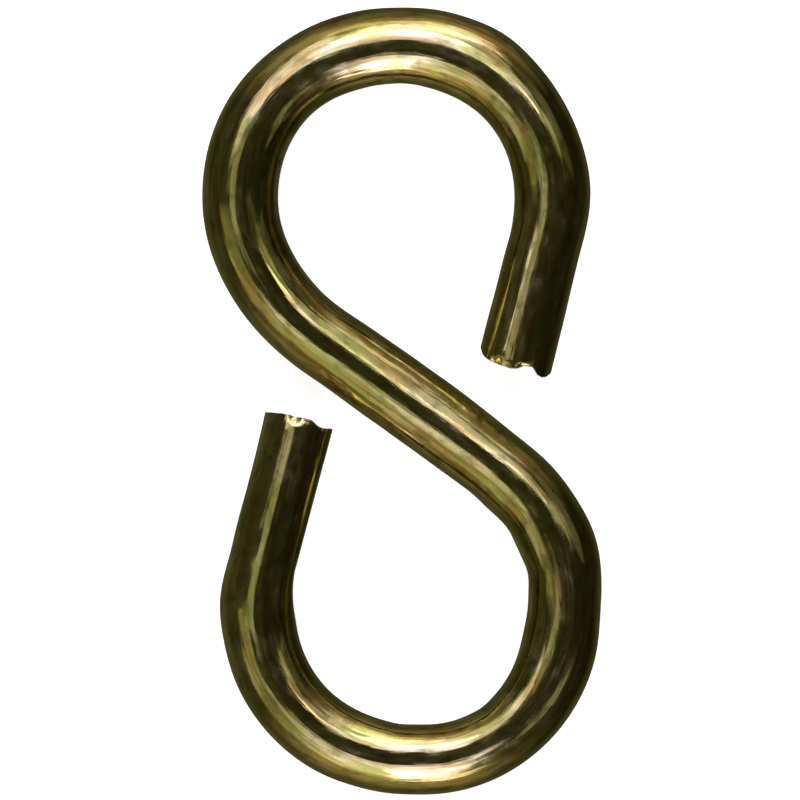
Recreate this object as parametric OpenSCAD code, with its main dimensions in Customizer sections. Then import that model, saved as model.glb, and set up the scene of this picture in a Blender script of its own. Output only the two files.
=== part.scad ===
// S hook, closed pattern: one length of round wire cropped from the coil and bent
// cold into two nearly shut eyes on one slanting shank. It hangs in links, rings and
// wire loops, and is squeezed shut round them.
//
// All lengths are in millimetres and all angles in degrees. The hook lies flat on the
// plate, long way along Y. The origin is on the plate under the middle of the shank,
// and the wire is followed from there outwards, once up and once down.

/* [Wire] */
// diameter of the round wire the hook is bent from
wire_d = 4.75; // [2.5:0.25:6]

/* [Shank] */
// straight length between the two eyes
shank_length = 14.3; // [8:0.1:30]
// slope of the shank, falling from left to right
shank_slope = 36; // [20:1:50]

/* [Both eyes] */
// turn of the wire from the shank to the tail, the same in both eyes
wrap_angle = 248; // [235:1:252]

/* [Upper eye] */
// radius of the first bend, beside the shank
upper_heel_r = 11.9; // [9:0.1:14]
// angle of the first bend
upper_heel_angle = 32.5; // [10:0.5:100]
// radius of the second bend, round the far end of the hook
upper_crown_r = 9.4; // [8:0.05:13]
// angle of the second bend
upper_crown_angle = 95.5; // [40:0.5:120]
// short straight left between the second and the third bend
upper_rest = 0.8; // [0.2:0.1:4]
// radius of the third bend, which brings the tail back
upper_nose_r = 9.65; // [8:0.05:13]
// way in, measured between the cut end and the shank
upper_mouth = 2.4; // [1:0.1:6]

/* [Lower eye] */
// radius of the first bend, beside the shank
lower_heel_r = 10.8; // [9:0.1:14]
// angle of the first bend
lower_heel_angle = 88; // [10:0.5:100]
// radius of the second bend, round the far end of the hook
lower_crown_r = 8.7; // [8:0.05:13]
// angle of the second bend
lower_crown_angle = 57; // [40:0.5:120]
// short straight left between the second and the third bend
lower_rest = 1.1; // [0.2:0.1:4]
// radius of the third bend, which brings the tail back
lower_nose_r = 9.4; // [8:0.05:13]
// way in, measured between the cut end and the shank
lower_mouth = 1.7; // [1:0.1:6]

/* [Pressed side of the lower tail] */
// depth to which the closing tool has flattened the inner side, next to the bend
press_depth = 0.44; // [0.2:0.01:0.6]
// slope at which the flat gets shallower towards the cut end
press_fade = 1; // [0:0.1:1]
// angle at which the flat runs out into the bend
press_ramp = 22; // [20:1:30]

/* [Cropped ends] */
// radius of the corner the shear rolled over on the upper tail
upper_roll = 0.8; // [0.2:0.05:1]
// radius of the torn lip on the far corner of the upper tail
upper_lip_r = 0.55; // [0.45:0.05:0.8]
// height of that lip over the cut face
upper_lip = 0.4; // [0.05:0.05:0.4]
// radius of the corner the shear rolled over on the lower tail
lower_roll = 0.8; // [0.1:0.05:1]
// radius of the torn lip on the lower tail
lower_lip_r = 0.7; // [0.45:0.05:0.8]
// height of that lip over the cut face
lower_lip = 0.15; // [0.05:0.01:0.4]
// distance of the lower lip from the middle of the wire, towards the eye
lower_lip_offset = 0.5; // [0:0.05:1.2]

/* [Hidden] */
// sides to a full turn round the wire; a full turn of a bend has twice as many
$fn = 32;
// radius of the wire
wire_r = wire_d / 2;
// width by which the shear reaches past the wire on each side
shear_slack = 0.1;
// amount by which every second stretch of wire is thinner than its neighbours
hair = 0.01;
// length by which such a thinner stretch runs on into each neighbour
lap = 0.05;
// headings at which the bends of an eye begin and end, turned from the shank
upper_turns = [0, upper_heel_angle, upper_heel_angle + upper_crown_angle, wrap_angle];
lower_turns = [0, lower_heel_angle, lower_heel_angle + lower_crown_angle, wrap_angle];
// radii of the three bends of an eye, from the shank on
upper_radii = [upper_heel_r, upper_crown_r, upper_nose_r];
lower_radii = [lower_heel_r, lower_crown_r, lower_nose_r];
// places where the tails begin, along and across the shank from its middle
upper_tail_start = tail_start(upper_radii, upper_turns, upper_rest);
lower_tail_start = tail_start(lower_radii, lower_turns, lower_rest);
// straight lengths of the tails up to their cut faces
upper_tail_length = tail_length(upper_tail_start, upper_mouth);
lower_tail_length = tail_length(lower_tail_start, lower_mouth);

// way along and across the shank that one bend to the right covers
function swing(radius, from, to) = radius * [sin(to) - sin(from), cos(to) - cos(from)];

// place where the last bend ends and the tail begins, from the middle of the shank
function tail_start(radii, turns, rest) =
    [shank_length / 2, 0]
    + swing(radii[0], turns[0], turns[1])
    + swing(radii[1], turns[1], turns[2])
    + rest * [cos(turns[2]), -sin(turns[2])]
    + swing(radii[2], turns[2], turns[3]);

// length of a tail whose inner corner stops short of the shank by the mouth
function tail_length(start, mouth) =
    (start[1] + mouth + wire_r * (1 - cos(wrap_angle))) / sin(wrap_angle);

// radius of a stretch of wire: a lapped one is thinner by the hair
function section(lapped) = wire_r - (lapped ? hair : 0);

// length by which a stretch runs on into each neighbour
function over(lapped) = lapped ? lap : 0;

// a straight of wire along X, with what follows set on its end
module straight(length, lapped) {
    translate([-over(lapped), 0, 0])
        rotate([0, 90, 0])
            cylinder(r = section(lapped), h = length + 2 * over(lapped));
    translate([length, 0, 0]) children();
}

// a bend to the right round a former, with what follows set on its end
module bend(radius, angle, lapped) {
    over_angle = over(lapped) / radius * 180 / PI;
    translate([0, -radius, 0]) {
        rotate([0, 0, 90 - angle - over_angle])
            rotate_extrude(angle = angle + 2 * over_angle, $fn = 2 * $fn)
                translate([radius, 0]) circle(r = section(lapped));
        rotate([0, 0, -angle]) translate([0, radius, 0]) children();
    }
}

// one eye from the end of the shank on, with the tail set on its end
module eye(radii, turns, rest) {
    bend(radii[0], turns[1] - turns[0], false)
        bend(radii[1], turns[2] - turns[1], true)
            straight(rest, false)
                bend(radii[2], turns[3] - turns[2], true)
                    children();
}

// outline of a cropped tail from above: cut face, rolled corner towards the inside of
// the eye, and torn lip
module cropped_outline(length, roll, lip_r, lip, lip_y) {
    side = wire_r + shear_slack;
    translate([-wire_d, -side]) square([wire_d + length - roll, 2 * side]);
    translate([length - 2 * roll, roll - side]) square([2 * roll, 2 * side - roll]);
    translate([length - roll, roll - side]) circle(r = roll);
    translate([length + lip - lip_r, lip_y]) circle(r = lip_r);
}

// straight tail whose end keeps the marks of the shear
module tail(length, roll, lip_r, lip, lip_y) {
    intersection() {
        rotate([0, 90, 0]) cylinder(r = wire_r, h = length + 2 * lip);
        translate([0, 0, -wire_d])
            linear_extrude(2 * wire_d)
                cropped_outline(length, roll, lip_r, lip, lip_y);
    }
}

// space taken by the closing tool beside the lower tail
module closing_tool() {
    reach = lower_tail_length + lower_lip;
    run_out = wire_r * tan(press_ramp);
    face = press_depth - wire_r;
    back = -wire_r - lower_mouth / 2;
    translate([0, 0, -wire_d])
        linear_extrude(2 * wire_d)
            polygon([
                [-wire_r, face - run_out],
                [0, face],
                [reach, face - reach * tan(press_fade)],
                [reach, back],
                [-wire_r, back - run_out]
            ]);
}

// straight between the eyes, with one eye set on each end
module shank() {
    translate([-shank_length / 2, 0, 0])
        straight(shank_length, true)
            children(0);
    rotate([0, 0, 180])
        translate([shank_length / 2, 0, 0])
            children(1);
}

// the whole hook, lying on the plate
module s_hook() {
    color("darkkhaki")
        translate([0, 0, wire_r])
            rotate([0, 0, -shank_slope])
                difference() {
                    shank() {
                        eye(lower_radii, lower_turns, lower_rest)
                            tail(lower_tail_length, lower_roll,
                                 lower_lip_r, lower_lip, -lower_lip_offset);
                        eye(upper_radii, upper_turns, upper_rest)
                            tail(upper_tail_length, upper_roll,
                                 upper_lip_r, upper_lip, wire_r + shear_slack - upper_lip_r);
                    }
                    translate(lower_tail_start)
                        rotate([0, 0, -wrap_angle])
                            closing_tool();
                }
}

s_hook();
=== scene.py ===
"""A closed S hook of round brass wire, lying flat on a pale table and seen from straight above."""
import math

import bpy
import numpy as np
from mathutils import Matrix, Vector, noise


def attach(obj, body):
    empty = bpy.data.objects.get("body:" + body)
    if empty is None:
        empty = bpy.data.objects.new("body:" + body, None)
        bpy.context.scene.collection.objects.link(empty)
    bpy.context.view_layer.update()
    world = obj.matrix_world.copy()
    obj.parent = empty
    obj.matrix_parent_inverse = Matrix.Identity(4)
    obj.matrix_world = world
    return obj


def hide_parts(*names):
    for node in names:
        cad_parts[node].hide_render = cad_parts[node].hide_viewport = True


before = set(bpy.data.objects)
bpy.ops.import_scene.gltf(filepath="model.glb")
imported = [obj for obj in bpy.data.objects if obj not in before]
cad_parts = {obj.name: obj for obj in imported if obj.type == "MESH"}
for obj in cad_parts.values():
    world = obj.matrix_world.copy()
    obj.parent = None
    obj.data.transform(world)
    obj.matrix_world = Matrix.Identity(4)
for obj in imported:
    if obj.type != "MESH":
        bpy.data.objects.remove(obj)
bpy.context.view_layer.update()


# The camera hangs straight over the hook and takes it in square on, a little off its
# middle. It sees without perspective, so that the eyes keep their true outline.
mm = 0.001
view_width = 50.8 * mm
view_middle = Vector((-0.286, -0.127, 0)) * mm
camera_height = 0.4
camera_clip = (0.01, 10)

scene = bpy.context.scene
camera_data = bpy.data.cameras.new("camera_above")
camera_data.type = "ORTHO"
camera_data.ortho_scale = view_width
camera_data.clip_start, camera_data.clip_end = camera_clip
camera = bpy.data.objects.new("camera_above", camera_data)
camera.location = view_middle + Vector((0, 0, camera_height))
scene.collection.objects.link(camera)
scene.camera = camera
scene.view_settings.view_transform = "Standard"


# The table top is one plain pale sheet, lit from below as well as from above, so that
# it stays white and takes only a faint shadow from the hook. It isn't mirrored in the
# brass, and the room's own glow stands for it there.
table_half = 1.5
table_corners = ((-1, -1), (1, -1), (1, 1), (-1, 1))
table_white = (0.93, 0.925, 0.915, 1)
table_light = (1, 1, 1, 1)
table_glow = 0.80
table_roughness = 0.8

table_mesh = bpy.data.meshes.new("table_top")
table_mesh.from_pydata(
    [(x * table_half, y * table_half, 0) for x, y in table_corners],
    [],
    [(0, 1, 2, 3)],
)
table_top = bpy.data.objects.new("table_top", table_mesh)
scene.collection.objects.link(table_top)
table_paint = bpy.data.materials.new("table_white")
table_paint.use_nodes = True
table_shader = table_paint.node_tree.nodes["Principled BSDF"]
table_shader.inputs["Base Color"].default_value = table_white
table_shader.inputs["Roughness"].default_value = table_roughness
table_shader.inputs["Specular IOR Level"].default_value = 0
table_shader.inputs["Emission Color"].default_value = table_light
table_shader.inputs["Emission Strength"].default_value = table_glow
table_mesh.materials.append(table_paint)
table_top.visible_glossy = False


# The room is dark, darkest to the right, with a dim brown glow low down at its far and
# near ends, weaker in the near right corner. Behind the table it looks as pale as the
# table does. X points to the right, Y to the far end and Z up, each from -1 to 1.
room_colour = (1.0, 0.98, 0.47, 1)
room_glow_left = 0.052
room_glow_right = 0.018
left_to_right = (-0.6, 0.9)
under_glow = 0.045
horizon_to_under = (-0.35, -0.75)
end_colour = (1.0, 0.80, 0.46, 1)
end_glow = 0.38
middle_to_far = (0.55, 0.95)
middle_to_near = (-0.55, -0.95)
under_to_horizon = (-0.65, 0)
middle_to_corner = (0.2, 0.6)
corner_share = 0.2
wall_colour = (0.99, 0.99, 0.985, 1)

room = bpy.data.worlds.new("studio_room")
room.use_nodes = True
scene.world = room
room_tree = room.node_tree
room_tree.nodes.clear()
looking = room_tree.nodes.new("ShaderNodeTexCoord")
ways = room_tree.nodes.new("ShaderNodeSeparateXYZ")
room_tree.links.new(looking.outputs["Generated"], ways.inputs[0])


def combined(tree, operation, first, second):
    """Two values added or multiplied."""
    result = tree.nodes.new("ShaderNodeMath")
    result.operation = operation
    tree.links.new(first, result.inputs[0])
    tree.links.new(second, result.inputs[1])
    return result.outputs[0]


def spread(tree, value, span, low, high):
    """A value brought from a span to another one, and held at the ends of it."""
    ranged = tree.nodes.new("ShaderNodeMapRange")
    tree.links.new(value, ranged.inputs["Value"])
    for socket, number in zip(("From Min", "From Max", "To Min", "To Max"), (*span, low, high)):
        ranged.inputs[socket].default_value = number
    return ranged.outputs["Result"]


def glow(colour, strength):
    """Light of one colour from all round, as strong as the value says."""
    light = room_tree.nodes.new("ShaderNodeBackground")
    light.inputs["Color"].default_value = colour
    room_tree.links.new(strength, light.inputs["Strength"])
    return light.outputs[0]


side_glow = spread(room_tree, ways.outputs["X"], left_to_right, room_glow_left, room_glow_right)
floor_glow = spread(room_tree, ways.outputs["Z"], horizon_to_under, 0, under_glow)
all_round = combined(room_tree, "ADD", side_glow, floor_glow)
far_end = spread(room_tree, ways.outputs["Y"], middle_to_far, 0, end_glow)
near_end = spread(room_tree, ways.outputs["Y"], middle_to_near, 0, end_glow)
near_right = spread(room_tree, ways.outputs["X"], middle_to_corner, 1, corner_share)
both_ends = combined(room_tree, "ADD", far_end, combined(room_tree, "MULTIPLY", near_end, near_right))
low_down = spread(room_tree, ways.outputs["Z"], under_to_horizon, 0, 1)
low_ends = combined(room_tree, "MULTIPLY", both_ends, low_down)
both_glows = room_tree.nodes.new("ShaderNodeAddShader")
room_tree.links.new(glow(room_colour, all_round), both_glows.inputs[0])
room_tree.links.new(glow(end_colour, low_ends), both_glows.inputs[1])
pale_wall = room_tree.nodes.new("ShaderNodeBackground")
pale_wall.inputs["Color"].default_value = wall_colour
seen_directly = room_tree.nodes.new("ShaderNodeLightPath")
either = room_tree.nodes.new("ShaderNodeMixShader")
room_tree.links.new(seen_directly.outputs["Is Camera Ray"], either.inputs[0])
room_tree.links.new(both_glows.outputs[0], either.inputs[1])
room_tree.links.new(pale_wall.outputs[0], either.inputs[2])
room_out = room_tree.nodes.new("ShaderNodeOutputWorld")
room_tree.links.new(either.outputs[0], room_out.inputs["Surface"])


# Soft boxes hang level over the table, past the far and the near end of the hook, each
# lit in fields. Smaller and dimmer ones fill in at the sides. They are flat area lights,
# and give the long pale stripes along the wire.
box_height = 0.3
soft_boxes = [
    # name, left, right, near and far edge as shares of the height, brightness, colour
    ("far_front", -0.58, 0.20, 0.27, 0.58, 1.40, (1.0, 0.96, 1.30)),
    ("far_right_strip", 0.20, 0.52, 0.29, 0.43, 2.00, (1.0, 0.97, 1.10)),
    ("far_front_right", 0.20, 0.60, 0.43, 0.58, 0.62, (1.0, 0.98, 0.95)),
    ("far_core", -0.36, 0.33, 0.58, 1.25, 3.00, (1.0, 0.94, 1.45)),
    ("far_core_right", 0.33, 0.72, 0.58, 1.25, 0.62, (1.0, 0.98, 0.95)),
    ("far_core_left", -0.95, -0.36, 0.58, 1.90, 0.95, (1.0, 0.96, 1.08)),
    ("far_rear", -0.36, 0.62, 1.25, 2.40, 2.40, (1.0, 0.94, 1.35)),
    ("far_rear_right", 0.62, 1.15, 1.25, 2.40, 1.10, (1.0, 0.96, 0.95)),
    ("far_back_left", -1.20, 0.15, 2.40, 5.20, 0.75, (1.0, 0.86, 0.62)),
    ("far_back_right", 0.15, 1.80, 2.40, 5.20, 1.20, (1.0, 0.90, 0.85)),
    ("far_side_left", -0.86, -0.58, 0.20, 0.58, 1.00, (1.0, 0.98, 1.00)),
    ("far_side_right", 0.60, 0.95, 0.25, 0.55, 0.40, (1.0, 1.04, 0.66)),
    ("far_right_fill", 0.95, 2.60, 0.30, 1.60, 0.08, (1.0, 1.0, 0.60)),
    ("left_glint", -0.60, -0.24, -0.12, 0.20, 0.36, (1.0, 1.01, 0.84)),
    ("left_fill", -1.90, -0.62, -0.55, -0.05, 0.23, (1.0, 1.0, 0.50)),
    ("near_front", -0.22, 0.27, -0.95, -0.50, 1.45, (1.0, 0.95, 1.30)),
    ("near_front_left", -0.65, -0.22, -0.95, -0.38, 0.75, (1.0, 0.98, 0.98)),
    ("near_core", -0.14, 0.42, -2.20, -0.95, 3.00, (1.0, 0.94, 1.45)),
    ("near_core_left", -0.64, -0.14, -2.20, -0.95, 0.95, (1.0, 0.96, 1.12)),
    ("near_back", -0.30, 1.00, -4.80, -2.20, 2.50, (1.0, 0.94, 1.15)),
    ("near_back_left", -1.40, -0.30, -4.80, -2.20, 0.55, (1.0, 0.92, 0.66)),
    ("near_left_fill", -2.60, -0.65, -2.20, -0.58, 0.35, (1.0, 1.0, 0.66)),
    ("right_glint", 0.55, 1.30, -0.90, -0.45, 0.17, (1.0, 1.06, 0.72)),
]
for name, left, right, near, far, brightness, colour in soft_boxes:
    panel = bpy.data.lights.new(name, "AREA")
    panel.shape = "RECTANGLE"
    panel.size = (right - left) * box_height
    panel.size_y = (far - near) * box_height
    panel.color = colour
    panel.energy = brightness * panel.size * panel.size_y * math.pi
    lamp = bpy.data.objects.new(name, panel)
    lamp.location = Vector(((left + right) / 2, (near + far) / 2, 1)) * box_height
    scene.collection.objects.link(lamp)


# The hook is one length of round brass wire, cropped from the coil by a shear and bent
# cold in strokes round formers of different size: heel, crown, a short rest and nose in
# either eye, then a straight tail. Nothing is fixed to it.
wire_radius = 2.375 * mm
shank_slope = math.radians(36)
half_shank = 7.15 * mm


def bend_strokes(heel, crown, rest, nose, tail):
    """Length of wire and degrees turned in each stroke, from the middle of the shank on."""
    first, second, third = [(radius * math.radians(angle), angle) for radius, angle in (heel, crown, nose)]
    return [(half_shank, 0), first, second, (rest, 0), third, (tail, 0)]


# radius and degrees of each bend, and length of each straight
upper_strokes = bend_strokes(
    heel=(11.9 * mm, 32.5), crown=(9.4 * mm, 95.5), rest=0.8 * mm, nose=(9.65 * mm, 120), tail=8.863 * mm)
lower_strokes = bend_strokes(
    heel=(10.8 * mm, 88), crown=(8.7 * mm, 57), rest=1.1 * mm, nose=(9.4 * mm, 103), tail=10.074 * mm)

# the mesh is a row of rings along the wire, closer together at the cut ends, and the
# formers let each bend begin and end smoothly
ring_step = 0.18 * mm
fine_ring_step = 0.055 * mm
fine_reach = 2.6 * mm
bend_easing = 0.45 * mm
easing_steps = (-1, -0.5, 0, 0.5, 1)


def lay_out(strokes, bearing):
    """Distances, middles and bearings of the wire, from the middle of the shank to a cut."""
    marks = np.cumsum([0] + [length for length, _ in strokes])
    turned = np.radians(np.cumsum([0] + [turn for _, turn in strokes]))
    fine_from = marks[-1] - fine_reach
    distances = np.concatenate((
        np.linspace(0, fine_from, round(fine_from / ring_step), endpoint=False),
        np.linspace(fine_from, marks[-1], round(fine_reach / fine_ring_step)),
    ))
    eased = [np.interp(distances + step * bend_easing, marks, turned) for step in easing_steps]
    bearings = bearing - np.mean(eased, axis=0)
    halfway = (bearings[1:] + bearings[:-1]) / 2
    moves = np.diff(distances)[:, None] * np.column_stack((np.cos(halfway), np.sin(halfway)))
    return distances, np.concatenate(([[0, 0]], np.cumsum(moves, axis=0))), bearings


upper_run, upper_middles, upper_bearings = lay_out(upper_strokes, math.pi - shank_slope)
lower_run, lower_middles, lower_bearings = lay_out(lower_strokes, -shank_slope)

# the two halves joined into one run from the lower cut to the upper cut, with distances
# below zero in the lower half
run = np.concatenate((-lower_run[:0:-1], upper_run))
middles = np.concatenate((lower_middles[:0:-1], upper_middles))
bearings = np.concatenate((lower_bearings[:0:-1] + math.pi, upper_bearings))
leftward = np.column_stack((-np.sin(bearings), np.cos(bearings)))
onward = np.column_stack((np.cos(bearings), np.sin(bearings)))

# where the bending tools swelled or thinned the wire, in mm: distance from the middle of
# the shank, reach along the wire, change of the half width there
upper_outer_marks = [
    (1.5, 2, 0.04), (6.5, 1.3, 0.06), (18.5, 2.5, -0.04), (26.5, 2.5, -0.07), (33, 1.8, -0.12),
    (38.6, 1.7, 0.14), (43.5, 2.2, -0.06), (47.9, 1.8, 0.09), (52, 3.5, -0.05),
]
upper_inner_marks = [
    (0, 2.2, 0.07), (6.8, 2.2, -0.10), (19, 5, 0.13), (29.3, 3, 0.09), (32, 1.3, 0.05),
    (36, 4.5, 0.25), (46.5, 2.5, 0.05), (51.2, 1.2, -0.08), (53.8, 2.5, -0.05),
]
lower_outer_marks = [
    (1.8, 2.2, 0.07), (7.6, 1.8, -0.12), (13.8, 1.9, 0.16), (18, 1.8, -0.15), (22.5, 3, 0.04),
    (36, 1.5, -0.06), (46.0, 1.6, -0.05), (48.4, 1.3, 0.05), (51, 1.5, -0.06), (57.2, 4.6, -0.14),
]
lower_inner_marks = [
    (8.6, 1.3, 0.11), (11.2, 0.9, -0.06), (15, 1.2, -0.15), (19.8, 2.2, 0.13), (29.5, 6.3, -0.32),
    (27, 1, -0.06), (33.7, 1.2, -0.07), (40, 2.5, -0.05), (48.3, 2.4, 0.06),
]
# length over which the marks of one half give way to those of the other at the shank
change_over = 1.5 * mm
upper_share = 0.5 + 0.5 * np.tanh(run / change_over)


def swell(marks):
    """Change of the wire's half width along the run, as if all of it were that limb."""
    return sum(change * mm * np.exp(-(((np.abs(run) / mm - where) / reach) ** 2))
               for where, reach, change in marks)


def half_width(upper_marks, lower_marks):
    """Half width of the wire on one side of the run."""
    return wire_radius + upper_share * swell(upper_marks) + (1 - upper_share) * swell(lower_marks)


# the inner side of an eye is on the right of the run in the upper half, and on the left
# of it in the lower half
left_half = half_width(upper_outer_marks, lower_inner_marks)
right_half = half_width(upper_inner_marks, lower_outer_marks)

points_round = 96
around = np.arange(points_round) * 2 * math.pi / points_round
across = np.where(np.cos(around) > 0, left_half[:, None], right_half[:, None]) * np.cos(around)
height = np.tile(wire_radius * np.sin(around), (len(run), 1))

# the closing tool pressed the inner side of the lower tail flat, deepest next to the
# bend, and the flat runs out before the limit
press_depth = 0.38 * mm
press_start = -50.9 * mm
press_limit = -35 * mm
press_fade = math.tan(math.radians(1))
press_run_out = math.tan(math.radians(6.5))
press_corner = 0.05 * mm
clear_of_wire = 3 * wire_radius

past_start = press_start - run
press_slope = np.where(past_start > 0, press_fade, -press_run_out)
press_face = wire_radius - press_depth + press_slope * past_start
press_face = np.where(run < press_limit, press_face, clear_of_wire)[:, None]
half_gap = (across - press_face) / 2
across = (across + press_face) / 2 - np.sqrt(half_gap**2 + press_corner**2)

# the formers and the tumbling barrel left the skin slightly uneven, mostly lengthwise
uneven_skin = [
    # height of the hills, size of them across and along the wire, seed
    (0.016 * mm, 1.7 * mm, 4.5 * mm, 3),
    (0.004 * mm, 0.55 * mm, 1.6 * mm, 11),
]


def unevenness(size_across, size_along, seed):
    """Noise over the wire's skin, with hills of about the given size."""
    along = np.broadcast_to(run[:, None] / size_along, across.shape) + seed
    spots = np.stack((across / size_across, height / size_across, along), axis=-1)
    return np.array([noise.noise(spot) for spot in spots.reshape(-1, 3)]).reshape(across.shape)


skin = 1 + sum(hill * unevenness(*size_and_seed) for hill, *size_and_seed in uneven_skin) / wire_radius
across = across * skin
height = np.clip(height * skin, -wire_radius, wire_radius)

# each cut end stands out and in round its nominal length: the corner that the shear
# rolled over, the torn rest of the face, a lip or hump, and chips along the upper edge
trim_reach = 2.4 * mm
rim_radius = 0.035 * mm
rim_angles = (22.5, 45, 67.5, 90)
rim_raggedness = 0.03 * mm
rim_waves = 3
rim_seed = 0.5
face_rings = 28
face_levelling = 8
roll_off = 0.09 * mm
roll_reach = 0.9 * mm
top_fade = 0.8 * mm
profile_easing = (-0.08, -0.04, 0, 0.04, 0.08)
chip_squareness = 4

# torn metal, which begins at a line across the face, short of its right side
torn_from = -1.9 * mm
torn_fade = 0.8 * mm
torn_size = 0.42 * mm
torn_height = 0.05 * mm
torn_falloff = 0.8
torn_step = 2.1
torn_octaves = 3
upper_seed = 5.0
lower_seed = 9.0

# place across the wire and stand of the face there, in mm, from the right side of the run
upper_profile = [
    (-2.40, -0.74), (-2.24, -0.44), (-2.05, -0.22), (-1.80, -0.08), (-1.42, 0.0), (0.0, 0.10),
    (0.35, -0.06), (0.6, -0.26), (1.15, -0.32), (1.5, 0.06), (1.85, 0.20), (2.15, 0.12), (2.40, -0.26),
]
lower_profile = [
    (-2.40, -0.10), (-1.37, 0.04), (-0.77, 0.08), (-0.4, 0.02), (0.1, 0.10),
    (0.72, 0.08), (1.23, -0.18), (1.54, -0.24), (2.0, -0.12), (2.40, -0.18),
]
# place across the wire, half width, length of the chipped facet, slope of it
upper_chips = [
    (-1.20 * mm, 0.27 * mm, 0.46 * mm, 0.80),
    (-0.62 * mm, 0.14 * mm, 0.24 * mm, 0.60),
    (0.72 * mm, 0.44 * mm, 0.42 * mm, 0.56),
]
lower_chips = [
    (-0.36 * mm, 0.33 * mm, 0.46 * mm, 0.52),
    (1.50 * mm, 0.26 * mm, 0.36 * mm, 0.62),
]


def torn(across, height, seed):
    """Roughness of torn brass at places of a cut face."""
    spots = np.stack((across / torn_size, height / torn_size, np.full_like(across, seed)), axis=-1)
    rough = [noise.fractal(spot, torn_falloff, torn_step, torn_octaves) for spot in spots.reshape(-1, 3)]
    return torn_height * np.array(rough).reshape(across.shape)


def cut_face(across, height, profile, seed):
    """How far a cut face stands out past its nominal place."""
    places, stands = zip(*profile)
    eased = [np.interp(across / mm + shift, places, stands) for shift in profile_easing]
    torn_part = np.clip((across - torn_from) / torn_fade, 0, 1)
    return mm * np.mean(eased, axis=0) + torn(across, height, seed) * torn_part


def chipped(across, ahead, chips):
    """How deep the chips cut below the skin, at places this far past the end."""
    return sum(slope * np.clip(ahead + length, 0, None)
               * np.exp(-(np.abs((across - where) / half) ** chip_squareness))
               for where, half, length, slope in chips)


def finish_end(height, end, profile, seed, chips):
    """Heights with an end rolled and chipped, how far its rings move, and rings of rim and face."""
    back = np.abs(run - run[end])[:, None]
    near = back < trim_reach
    ragged = np.array([noise.noise((a * rim_waves, rim_seed, end)) for a in around])
    rim = cut_face(across[end], height[end], profile, seed) - rim_radius + rim_raggedness * ragged
    ahead = -back + np.clip(1 - back / trim_reach, 0, 1) * rim
    on_top = np.clip(height / top_fade, 0, 1)
    rolled = roll_off * np.clip(1 + ahead / roll_reach, 0, 1) ** 2
    height = np.where(near, height - on_top * (rolled + chipped(across, ahead, chips)), height)
    size = np.hypot(across[end], height[end])
    rings = []
    for angle in np.radians(rim_angles):
        share = 1 - rim_radius * (1 - math.cos(angle)) / size
        rings.append((across[end] * share, height[end] * share, rim + rim_radius * math.sin(angle)))
    rim_across, rim_height, rim_stand = rings[-1]
    step = rim_stand - cut_face(rim_across, rim_height, profile, seed)
    for share in np.sin(np.linspace(math.pi / 2, 0, face_rings))[1:]:
        inner_across = rim_across * share
        inner_height = rim_height * share
        stand = cut_face(inner_across, inner_height, profile, seed) + step * share**face_levelling
        rings.append((inner_across, inner_height, stand))
    return height, np.where(near, ahead + back, 0), [np.array(part) for part in zip(*rings)]


height, lower_shift, lower_rings = finish_end(height, 0, lower_profile, lower_seed, lower_chips)
height, upper_shift, upper_rings = finish_end(height, len(run) - 1, upper_profile, upper_seed, upper_chips)


def ring_points(station, across, height, onwards):
    """Points of rings at a station of the run, pushed on along it by a distance each."""
    flat = middles[station] + across[..., None] * leftward[station] + onwards[..., None] * onward[station]
    return np.concatenate((flat, height[..., None] + wire_radius), axis=-1)


lower_across, lower_height, lower_stand = lower_rings
upper_across, upper_height, upper_stand = upper_rings
shift = upper_shift - lower_shift
all_rings = np.concatenate((
    ring_points(0, lower_across, lower_height, -lower_stand)[::-1],
    ring_points(np.arange(len(run))[:, None], across, height, shift),
    ring_points(-1, upper_across, upper_height, upper_stand),
))
this_ring = np.arange(len(all_rings) - 1)[:, None] * points_round
next_ring = this_ring + points_round
here = np.arange(points_round)
there = (here + 1) % points_round
quads = np.stack((this_ring + here, this_ring + there, next_ring + there, next_ring + here), axis=-1)

hook_mesh = bpy.data.meshes.new("hook_wire")
hook_mesh.from_pydata(all_rings.reshape(-1, 3).tolist(), [], quads.reshape(-1, 4).tolist())
hook_mesh.polygons.foreach_set("use_smooth", [True] * len(hook_mesh.polygons))

# each point knows its place in the straight wire, for the drawing lines, and whether it
# is on bare torn metal, which begins halfway round the rim
place = np.concatenate((
    np.stack((lower_across, lower_height, run[0] - lower_stand), axis=-1)[::-1],
    np.stack((across, height, run[:, None] + shift), axis=-1),
    np.stack((upper_across, upper_height, run[-1] + upper_stand), axis=-1),
))
wire_place = hook_mesh.attributes.new("wire_place", "FLOAT_VECTOR", "POINT")
wire_place.data.foreach_set("vector", place.astype(np.float32).ravel())
torn_rows = len(lower_across) - len(rim_angles) // 2
torn_share = np.zeros(all_rings.shape[:2], np.float32)
torn_share[:torn_rows] = 1
torn_share[-torn_rows:] = 1
bare_metal = hook_mesh.attributes.new("bare_metal", "FLOAT", "POINT")
bare_metal.data.foreach_set("value", torn_share.ravel())
hook_mesh.update()
hook = bpy.data.objects.new("hook_wire", hook_mesh)
scene.collection.objects.link(hook)

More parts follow.
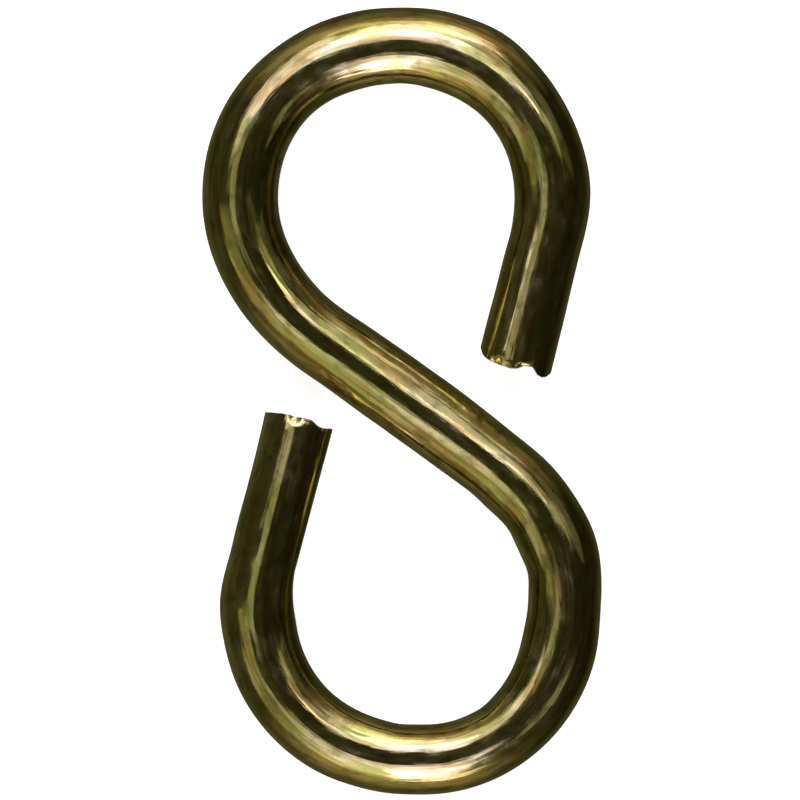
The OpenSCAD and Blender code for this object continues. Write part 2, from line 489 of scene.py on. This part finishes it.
# bright drawn brass under a thin patchy tarnish: gold where it was rubbed, olive and
# brown where it was not, with dark drawing lines, smudges and pale torn ends
gold = (0.78, 0.67, 0.34, 1)
olive = (0.50, 0.49, 0.16, 1)
brown = (0.55, 0.36, 0.13, 1)
line_brown = (0.27, 0.19, 0.08, 1)
smudge_green = (0.22, 0.20, 0.07, 1)
torn_brass = (0.78, 0.68, 0.42, 1)
tarnish = [
    # colour, grain across and along the wire, detail, noise where it begins and is full, share
    (olive, 1.6 * mm, 4.0 * mm, 4, (0.44, 0.56), 1),
    (brown, 0.8 * mm, 3.6 * mm, 5, (0.50, 0.63), 0.8),
    (line_brown, 0.28 * mm, 9.0 * mm, 3, (0.50, 0.72), 0.75),
    (smudge_green, 0.6 * mm, 1.1 * mm, 5, (0.50, 0.68), 0.62),
]
dullness = [
    # grain across and along the wire, detail, span of the noise, least and most roughness
    (0.9 * mm, 2.4 * mm, 4, (0.35, 0.70), 0.055, 0.17),
    (0.42 * mm, 1.2 * mm, 1, (0.46, 0.80), 0, 0.11),
]
torn_dullness = 0.25
skin_relief = [
    # grain across and along the wire, detail, height: drawing lines, waves, pits
    (0.16 * mm, 5.0 * mm, 3, 0.007 * mm),
    (0.50 * mm, 3.0 * mm, 2, 0.018 * mm),
    (0.13 * mm, 0.20 * mm, 2, 0.0009 * mm),
]

brass = bpy.data.materials.new("tarnished_brass")
brass.use_nodes = True
brass_tree = brass.node_tree
brass_shader = brass_tree.nodes["Principled BSDF"]
brass_shader.inputs["Metallic"].default_value = 1
wire_place_in = brass_tree.nodes.new("ShaderNodeAttribute")
wire_place_in.attribute_name = "wire_place"
bare_metal_in = brass_tree.nodes.new("ShaderNodeAttribute")
bare_metal_in.attribute_name = "bare_metal"


def grain(size_across, size_along, detail):
    """Noise in the brass whose grains have the given size across and along the wire."""
    scaled = brass_tree.nodes.new("ShaderNodeVectorMath")
    scaled.operation = "MULTIPLY"
    scaled.inputs[1].default_value = (1 / size_across, 1 / size_across, 1 / size_along)
    brass_tree.links.new(wire_place_in.outputs["Vector"], scaled.inputs[0])
    cloud = brass_tree.nodes.new("ShaderNodeTexNoise")
    cloud.inputs["Scale"].default_value = 1
    cloud.inputs["Detail"].default_value = detail
    brass_tree.links.new(scaled.outputs[0], cloud.inputs["Vector"])
    return cloud.outputs["Fac"]


def blend_colour(share, first, second):
    """A mix of two colours, the first given as a value or as another node's output."""
    mixed = brass_tree.nodes.new("ShaderNodeMix")
    mixed.data_type = "RGBA"
    brass_tree.links.new(share, mixed.inputs["Factor"])
    first_in, second_in = [socket for socket in mixed.inputs if socket.type == "RGBA"]
    if isinstance(first, tuple):
        first_in.default_value = first
    else:
        brass_tree.links.new(first, first_in)
    second_in.default_value = second
    return [socket for socket in mixed.outputs if socket.type == "RGBA"][0]


def total(values):
    """Several values of the brass added up."""
    whole = values[0]
    for value in values[1:]:
        whole = combined(brass_tree, "ADD", whole, value)
    return whole


skin_colour = gold
for colour, size_across, size_along, detail, span, most in tarnish:
    cover = spread(brass_tree, grain(size_across, size_along, detail), span, 0, most)
    skin_colour = blend_colour(cover, skin_colour, colour)
base_colour = blend_colour(bare_metal_in.outputs["Fac"], skin_colour, torn_brass)
brass_tree.links.new(base_colour, brass_shader.inputs["Base Color"])

roughness = [
    spread(brass_tree, grain(size_across, size_along, detail), span, least, most)
    for size_across, size_along, detail, span, least, most in dullness
]
roughness.append(spread(brass_tree, bare_metal_in.outputs["Fac"], (0, 1), 0, torn_dullness))
brass_tree.links.new(total(roughness), brass_shader.inputs["Roughness"])

relief = [
    spread(brass_tree, grain(size_across, size_along, detail), (0, 1), 0, depth)
    for size_across, size_along, detail, depth in skin_relief
]
skin_bump = brass_tree.nodes.new("ShaderNodeBump")
skin_bump.inputs["Strength"].default_value = 1
skin_bump.inputs["Distance"].default_value = 1
brass_tree.links.new(total(relief), skin_bump.inputs["Height"])
brass_tree.links.new(skin_bump.outputs["Normal"], brass_shader.inputs["Normal"])
hook_mesh.materials.append(brass)

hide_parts("s_hook")
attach(hook, "root")
